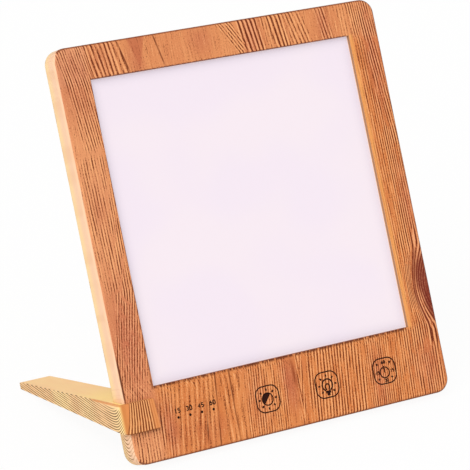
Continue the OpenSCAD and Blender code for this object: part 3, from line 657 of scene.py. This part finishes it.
# %% Who wears what
# base colour, second colour, roughness, grit, and the shine where it isn't the usual 0.5
FINISHES = {
    # dull brown rubber, lost in the shadow under the lamp
    "moulded_silicone_rubber": (("#8a6446", "#7c583c", 0.7, 0.5), ["base_pads", "stand_foot_pad",
                                                                  "stand_grip_pads"]),
    # the soft sheen of a fine mould texture
    "black_moulded_abs": (("#1c1b1d", "#262527", 0.45, 0.4), ["dc_jack", "indicator_shroud"]),
    # tinted resin, nearly black while its LED is off
    "smoked_light_pipe": (("#1d0b07", "#170805", 0.4, 0.3, 0.1), ["indicator_light_pipes"]),
    # a warm metal, close to a mirror
    "nickel_plated_pin": (("#cfc9bb", "#bdb7aa", 0.25, 0.2), ["dc_jack_pin"]),
    # a cool metal, slightly clouded
    "zinc_plated_steel": (("#a9abae", "#96989c", 0.35, 0.3), ["cover_screws", "tray_screws",
                                                             "board_screws"]),
    # polished, with the sharpest highlights of all
    "clear_cast_acrylic": (("#dfe8ec", "#d3dee4", 0.12, 1.0), ["light_guide_plate"]),
    # plain white with hardly any sheen
    "white_reflector_film": (("#f2f2f2", "#e9e9ea", 0.6, 0.4), ["reflector_sheet"]),
    # light grey metal with a soft sheen from the rollers
    "mill_finish_aluminium": (("#c9cbce", "#babdc1", 0.35, 0.2), ["back_plate"]),
    # green lacquer that looks wet
    "green_solder_mask": (("#1f6b3f", "#195c36", 0.35, 0.5), ["control_board", "led_bar_left",
                                                             "led_bar_right"]),
    # pale yellow phosphor under clear silicone
    "phosphor_led_package": (("#f5e6a8", "#efe0b0", 0.4, 0.3), ["leds_left", "leds_right",
                                                               "indicator_leds"]),
    # dark and dull, like slate
    "moulded_epoxy_chip": (("#242426", "#1d1d1f", 0.6, 0.2), ["microcontroller", "led_driver"]),
    # a dark, chalky ceramic
    "ferrite_core": (("#3b3b3e", "#323235", 0.7, 0.3), ["inductor"]),
    # bright aluminium, smoother than the plate
    "drawn_capacitor_can": (("#c4c6ca", "#b3b6bb", 0.3, 0.2), ["smoothing_capacitors"]),
    # the dullest of all, because its cells trap light
    "conductive_foam": (("#3a3a3f", "#2e2e33", 0.9, 0.6), ["brightness_touch_pad",
                                                          "power_touch_pad", "timer_touch_pad"]),
    # off-white and a little waxy
    "moulded_nylon_plug": (("#ece8dc", "#e2ddcf", 0.5, 0.4), ["led_connectors"]),
    # a smooth skin with a slight shine
    "red_pvc_sheath": (("#b02f2f", "#9e2828", 0.4, 0.5), ["led_leads_left", "led_leads_right"]),
}
# on a metal the colour is in the reflection, so these get metallic 1
METALS = {"nickel_plated_pin", "zinc_plated_steel", "mill_finish_aluminium",
          "drawn_capacitor_can"}


def dress(node_name, material):
    """Puts one material on a CAD node, whatever its slots were."""
    mesh = nodes[node_name].data
    for i in range(len(mesh.materials)):
        mesh.materials[i] = material
    if not len(mesh.materials):
        mesh.materials.append(material)


for finish_name, (recipe, wearers) in FINISHES.items():
    metal = 1.0 if finish_name in METALS else 0.0
    finish = plain_finish(finish_name, *recipe, metallic=metal)
    for wearer in wearers:
        dress(wearer, finish)
dress("front_frame", film_front)
dress("rear_cover", film_rear)
dress("stand_body", film_stand)
dress("diffuser_plate", opal)
print("finishes:", len(FINISHES) + 4, "on", len(nodes), "nodes")


# %% [markdown]
# ## Printed marks
# The touch keys are printed in dark brown on the film: three rounded squares with a half-moon, a
# bulb and a timer dial, and the minutes 15, 30, 45 and 60 over the four indicator dots. Print has
# no thickness to speak of, so each mark is a flat ribbon laid 0.02 mm over the film. Each shape is
# a list of strokes in millimetres, and one function turns strokes to ribbons.

# %% Ink
def screen_ink(name):
    """Dull dark brown, a little uneven as printed ink is."""
    material, tree = new_material(name)
    place = panel_place(tree)
    fleck = add(tree, "ShaderNodeTexNoise", {"Vector": place, "Scale": 3.0, "Detail": 2.0})
    colour = tint(tree, paint("#260c06"), between(tree, fleck.outputs["Fac"], 0.4, 0.7),
                  paint("#34140b"))
    shader = add(tree, "ShaderNodeBsdfPrincipled", {
        "Base Color": colour, "Roughness": 0.55, "Specular IOR Level": 0.1})
    finish_material(tree, shader)
    return material


ink_material = screen_ink("screen_printed_ink")
print("ink:", ink_material.name)

# %% Where the marks are
INK_LIFT = 0.02                                     # the print lies this far over the film
KEY_H = 19.0                                        # h of the keys' middles
BRIGHTNESS_X, POWER_X, TIMER_X = -15.2, 22.4, 59.9
KEY_SQUARE = (14.3, 14.1, 4.7)                      # width, height and corner radius
DOT_H, FIRST_DOT_X, DOT_PITCH = 20.5, -70.0, 7.15   # the indicator dots
MINUTES_H = 24.15                                   # h of the numbers over the dots


def ribbon(bm, points, width, closed=False):
    """A flat stroke along points, in panel millimetres, with square ends."""
    count = len(points)
    rails = []
    for i, p in enumerate(points):
        before = points[i - 1] if i or closed else points[i]
        after = points[(i + 1) % count] if i < count - 1 or closed else points[i]
        run = (Vector(after) - Vector(before)).normalized()
        out = Vector((-run.y, run.x)) * width / 2
        rails.append([bm.verts.new(PANEL @ Vector((p[0] + s * out.x, p[1] + s * out.y, INK_LIFT)))
                      for s in (1, -1)])
    for i in range(count if closed else count - 1):
        a, b = rails[i], rails[(i + 1) % count]
        bm.faces.new((a[0], a[1], b[1], b[0]))


def fill(bm, points):
    """A flat filled shape, anticlockwise."""
    bm.faces.new([bm.verts.new(PANEL @ Vector((p[0], p[1], INK_LIFT))) for p in points])


def arc(cx, cy, radius, start, end, steps=32):
    """Points on an arc, with its start and end in degrees."""
    turn = (end - start) / steps
    return [(cx + radius * math.cos(math.radians(start + i * turn)),
             cy + radius * math.sin(math.radians(start + i * turn))) for i in range(steps + 1)]


def round_square(cx, cy, width, height, radius):
    """The outline of a square with round corners."""
    outline = []
    for sx, sy, start in ((1, 1, 0), (-1, 1, 90), (-1, -1, 180), (1, -1, 270)):
        outline += arc(cx + sx * (width / 2 - radius), cy + sy * (height / 2 - radius),
                       radius, start, start + 90, 8)
    return outline


def ring(bm, cx, cy, radius, width):
    """A round stroke."""
    ribbon(bm, arc(cx, cy, radius, 0, 360)[:-1], width, closed=True)


# %% [markdown]
# The little rays round a key's symbol repeat, so Geometry Nodes place them: a ring of points, one
# short bar on each, turned outwards. The tree's inputs are the number of rays, their sizes and the
# one ray that may be left out, so the same tree serves all three keys.

# %% Rays with Geometry Nodes
def ray_tree():
    """The node tree of the rays, and the identifiers of its inputs."""
    tree = bpy.data.node_groups.new("key_rays", "GeometryNodeTree")
    sockets = {}
    for label, kind, value in (("Rays", "NodeSocketInt", 8), ("Radius", "NodeSocketFloat", 5.2),
                               ("Length", "NodeSocketFloat", 1.0), ("Width", "NodeSocketFloat", 0.35),
                               ("Start", "NodeSocketFloat", 0.0), ("Skip", "NodeSocketInt", -1)):
        made = tree.interface.new_socket(label, in_out="INPUT", socket_type=kind)
        made.default_value = value
        sockets[label] = made.identifier
    tree.interface.new_socket("Geometry", in_out="OUTPUT", socket_type="NodeSocketGeometry")
    given = add(tree, "NodeGroupInput").outputs
    ring_points = add(tree, "GeometryNodeMeshCircle", {
        "Vertices": given["Rays"], "Radius": given["Radius"]})
    number = add(tree, "GeometryNodeInputIndex")
    share = add(tree, "ShaderNodeMath", {0: number.outputs[0], 1: given["Rays"]},
                operation="DIVIDE")
    angle = add(tree, "ShaderNodeMath", {0: share.outputs[0], 1: math.tau}, operation="MULTIPLY")
    facing = add(tree, "ShaderNodeCombineXYZ", {"Z": angle.outputs[0]})
    bar = add(tree, "GeometryNodeMeshGrid", {
        "Size X": given["Length"], "Size Y": given["Width"], "Vertices X": 2, "Vertices Y": 2})
    kept = add(tree, "FunctionNodeCompare", {
        2: number.outputs[0], 3: given["Skip"]}, data_type="INT", operation="NOT_EQUAL")
    placed = add(tree, "GeometryNodeInstanceOnPoints", {
        "Points": ring_points.outputs["Mesh"], "Instance": bar.outputs["Mesh"],
        "Selection": kept.outputs[0], "Rotation": facing.outputs[0]})
    real = add(tree, "GeometryNodeRealizeInstances", {"Geometry": placed.outputs[0]})
    around = add(tree, "ShaderNodeCombineXYZ", {"Z": given["Start"]})
    turned = add(tree, "GeometryNodeTransform", {
        "Geometry": real.outputs[0], "Rotation": around.outputs[0]})
    inked = add(tree, "GeometryNodeSetMaterial", {
        "Geometry": turned.outputs[0], "Material": ink_material})
    add(tree, "NodeGroupOutput", {0: inked.outputs[0]})
    return tree, sockets


RAYS, RAY_SOCKETS = ray_tree()


def rays(bm, cx, cy, **sizes):
    """Adds a ring of rays round a point, made by the ray tree."""
    carrier = bpy.data.objects.new("ray_carrier", bpy.data.meshes.new("ray_carrier"))
    bpy.context.scene.collection.objects.link(carrier)
    modifier = carrier.modifiers.new("rays", "NODES")
    modifier.node_group = RAYS
    for label, value in sizes.items():
        modifier[RAY_SOCKETS[label]] = value
    bpy.context.view_layer.update()
    graph = bpy.context.evaluated_depsgraph_get()
    made = bpy.data.meshes.new_from_object(carrier.evaluated_get(graph))
    made.transform(PANEL @ Matrix.Translation((cx, cy, INK_LIFT)))
    bm.from_mesh(made)
    bpy.data.objects.remove(carrier)
    bpy.data.meshes.remove(made)


def printed(name, bm):
    """Turns finished strokes to a piece of ink that rides on the panel, faces outwards."""
    bmesh.ops.recalc_face_normals(bm, faces=bm.faces)
    out = (PANEL.to_3x3() @ Vector((0, 0, 1))).normalized()
    for face in bm.faces:
        if face.normal.dot(out) < 0:
            face.normal_flip()
    mesh = bpy.data.meshes.new(name)
    bm.to_mesh(mesh)
    bm.free()
    mesh.materials.append(ink_material)
    piece = bpy.data.objects.new(name, mesh)
    bpy.context.scene.collection.objects.link(piece)
    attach(piece, "panel")
    print(name, "faces:", len(mesh.polygons))


# %% Digits
def digit_strokes(digit):
    """The strokes of one digit, a unit tall and round its own centre."""
    top, side = 0.41, 0.24
    return {
        "0": [round_square(0, 0, 2 * side, 2 * top, side) + [(side, top - side)]],
        "1": [[(-0.16, 0.22), (0.04, top), (0.04, -0.5)]],
        "3": [arc(0, 0.19, 0.22, 150, -90, 10), arc(0, -0.18, 0.23, 90, -150, 10)],
        "4": [[(0.3, -0.2), (-side, -0.2), (0.12, top), (0.12, -0.5)]],
        "5": [[(0.22, top), (-0.18, top), (-0.2, 0.04)] + arc(0, -0.17, side, 120, -140, 10)],
        "6": [arc(0, -0.17, side, 150, -210, 16), [(0.12, top), (-0.1, 0.18), (-0.2, -0.05)]],
    }[digit]


def lettering(bm, text, cx, cy, height, line):
    """Plain digits drawn with strokes of width line, centred on a point, height tall."""
    for i, digit in enumerate(text):
        middle = cx + (i - (len(text) - 1) / 2) * 0.76 * height
        for stroke in digit_strokes(digit):
            ribbon(bm, [(middle + x * height, cy + y * height) for x, y in stroke], line)


# %% The three touch keys
LINE = 0.7              # width of most strokes


def key_square(bm, cx):
    """The frame that all three keys have."""
    ribbon(bm, round_square(cx, KEY_H, *KEY_SQUARE), LINE, closed=True)


def brightness_key(cx):
    """Rays, a ring, and the half of it that is dark."""
    bm = bmesh.new()
    key_square(bm, cx)
    rays(bm, cx - 0.1, KEY_H - 0.1, Rays=8, Radius=5.15, Length=1.35, Width=1.05)
    ring(bm, cx - 0.1, KEY_H - 0.1, 3.3, LINE)
    fill(bm, arc(cx - 0.1, KEY_H - 0.1, 3.45, 50, 230, 24))
    printed("brightness_key_print", bm)


def power_key(cx):
    """Rays, the bulb's glass, its filament, and the two parts of its cap."""
    bm = bmesh.new()
    key_square(bm, cx)
    rays(bm, cx + 0.2, KEY_H - 0.2, Rays=8, Radius=5.15, Length=1.35, Width=1.0, Skip=6)
    ribbon(bm, arc(cx + 0.2, KEY_H - 0.2, 3.25, -66, 246), 0.85)
    ribbon(bm, [(cx + 0.05 + 1.35 * math.cos(a), KEY_H - 1.2 + 1.6 * math.sin(a))
                for a in [math.radians(-70 + 10 * i) for i in range(33)]], 0.8)
    fill(bm, [(cx - 1.5, KEY_H - 4.7), (cx + 1.8, KEY_H - 4.7), (cx + 1.8, KEY_H - 3.3),
              (cx - 1.5, KEY_H - 3.3)])
    fill(bm, [(cx - 0.85, KEY_H - 6.0), (cx + 1.15, KEY_H - 6.0), (cx + 1.15, KEY_H - 4.75),
              (cx - 0.85, KEY_H - 4.75)])
    printed("power_key_print", bm)


def timer_key(cx):
    """A knob with its pointer, four short ticks, and the minutes round it."""
    bm = bmesh.new()
    key_square(bm, cx)
    ribbon(bm, arc(cx, KEY_H - 0.9, 2.95, 102, 438), 0.72)
    ribbon(bm, [(cx, KEY_H - 1.1), (cx, KEY_H + 2.75)], 0.8)
    rays(bm, cx, KEY_H, Rays=4, Radius=5.85, Length=1.3, Width=1.05, Start=math.pi / 4)
    for text, dx, dy in (("60", 0.1, 4.8), ("15", 4.9, -0.6), ("30", 0.2, -5.4),
                         ("45", -4.6, -0.4)):
        lettering(bm, text, cx + dx, KEY_H + dy, 1.9, 0.55)
    printed("timer_key_print", bm)


# %% The minutes over the dots
def minutes():
    """The four numbers, and a thin ring round each dot."""
    bm = bmesh.new()
    for i, text in enumerate(("15", "30", "45", "60")):
        dot_x = FIRST_DOT_X + i * DOT_PITCH
        lettering(bm, text, dot_x, MINUTES_H, 2.7, 0.62)
        ring(bm, dot_x, DOT_H, 0.62, 0.24)
    printed("timer_minutes_print", bm)


brightness_key(BRIGHTNESS_X)
power_key(POWER_X)
timer_key(TIMER_X)
minutes()


# %% [markdown]
# ## Studio
# The photo is a plain product shot on white: one large soft light from the upper left, light from
# all round, and no hard shadow. A sun with a wide angle and an even world do that without lamps
# whose distance matters. The floor is white paint that shows to the camera as paper white and
# keeps a faint contact shadow.

# %% World and sun
WORLD_LIGHT = 0.62
SUN_STRENGTH, SUN_SPREAD = 1.92, math.radians(50)
SUN_FROM = Vector((-0.62, -0.45, 0.75))
SUN_COLOUR = (1.0, 0.98, 0.95)          # a little warm
world = bpy.data.worlds.new("studio")
bpy.context.scene.world = world
world.use_nodes = True
sky = world.node_tree
sky.nodes.clear()
path = add(sky, "ShaderNodeLightPath")
seen = add(sky, "ShaderNodeMath", {0: path.outputs["Is Camera Ray"],
                                   1: path.outputs["Is Transmission Ray"]}, operation="MAXIMUM")
level = add(sky, "ShaderNodeMapRange", {"Value": seen.outputs[0], "To Min": WORLD_LIGHT,
                                        "To Max": 1.0})
air = add(sky, "ShaderNodeBackground", {"Color": paint("#ffffff"), "Strength": level.outputs[0]})
add(sky, "ShaderNodeOutputWorld", {"Surface": air.outputs[0]})

sun_data = bpy.data.lights.new("soft_key", "SUN")
sun_data.energy = SUN_STRENGTH
sun_data.angle = SUN_SPREAD
sun_data.color = SUN_COLOUR
sun = bpy.data.objects.new("soft_key", sun_data)
sun.rotation_euler = SUN_FROM.to_track_quat("Z", "Y").to_euler()
bpy.context.scene.collection.objects.link(sun)
print("studio: world", WORLD_LIGHT, "sun", sun_data.energy)

# %% Floor
FLOOR_REACH = 6.0       # metres from the lamp to the floor's edges
FLOOR_WHITE = 0.93      # how much of the floor shows to the camera as paper white
floor_mesh = bpy.data.meshes.new("floor")
floor_mesh.from_pydata([(sx * FLOOR_REACH, sy * FLOOR_REACH, 0)
                        for sx, sy in ((-1, -1), (1, -1), (1, 1), (-1, 1))], [], [(0, 1, 2, 3)])
floor = bpy.data.objects.new("floor", floor_mesh)
bpy.context.scene.collection.objects.link(floor)
floor_material, floor_tree = new_material("white_paper_floor")
floor_path = add(floor_tree, "ShaderNodeLightPath")
paper = add(floor_tree, "ShaderNodeBsdfDiffuse", {"Color": paint("#f3f3f3")})
white = add(floor_tree, "ShaderNodeEmission", {"Color": paint("#ffffff"), "Strength": 1.0})
eye = add(floor_tree, "ShaderNodeMath", {
    0: floor_path.outputs["Is Camera Ray"], 1: FLOOR_WHITE}, operation="MULTIPLY")
floor_mix = add(floor_tree, "ShaderNodeMixShader", {
    0: eye.outputs[0], 1: paper.outputs[0], 2: white.outputs[0]})
finish_material(floor_tree, floor_mix)
floor_mesh.materials.append(floor_material)
print("floor:", 2 * FLOOR_REACH, "m wide")

# %% [markdown]
# ## Camera
# The photo's own camera was found by fitting the panel's corners, the window and the stand: it
# stands about 1.5 m away, 30 degrees to the left and 21 degrees above, with a long lens.

# %% The photo's camera
TURN, TILT = math.radians(30.349), math.radians(20.673)
AIM_H = 39.93                               # the point it was fitted to: mid front, this high
EYE = (-26.639, 65.132, 1476.697)           # from there to the right, up and back, in mm
PHOTO_PX, LENS_PX = 470, 2725.5827          # the photo's width, and the lens in its pixels
SENSOR_MM = 36.0
right = Vector((math.cos(TURN), -math.sin(TURN), 0))
look = Vector((math.sin(TURN) * math.cos(TILT), math.cos(TURN) * math.cos(TILT),
               -math.sin(TILT)))
up = Vector((math.sin(TURN) * math.sin(TILT), math.cos(TURN) * math.sin(TILT), math.cos(TILT)))
aim = PANEL @ Vector((0, AIM_H, 0))
eye_at = aim + (right * EYE[0] + up * EYE[1] - look * EYE[2]) * MM

camera_data = bpy.data.cameras.new("photo_camera")
camera_data.sensor_width = SENSOR_MM
camera_data.lens = LENS_PX * SENSOR_MM / PHOTO_PX
camera_data.clip_end = 50.0
camera = bpy.data.objects.new("photo_camera", camera_data)
turn_matrix = Matrix((right, up, -look)).transposed()
camera.matrix_world = Matrix.Translation(eye_at) @ turn_matrix.to_4x4()
bpy.context.scene.collection.objects.link(camera)
bpy.context.scene.camera = camera
bpy.context.scene.view_settings.view_transform = "Standard"
print("camera at", [round(v, 3) for v in eye_at], "lens", round(camera_data.lens, 1))
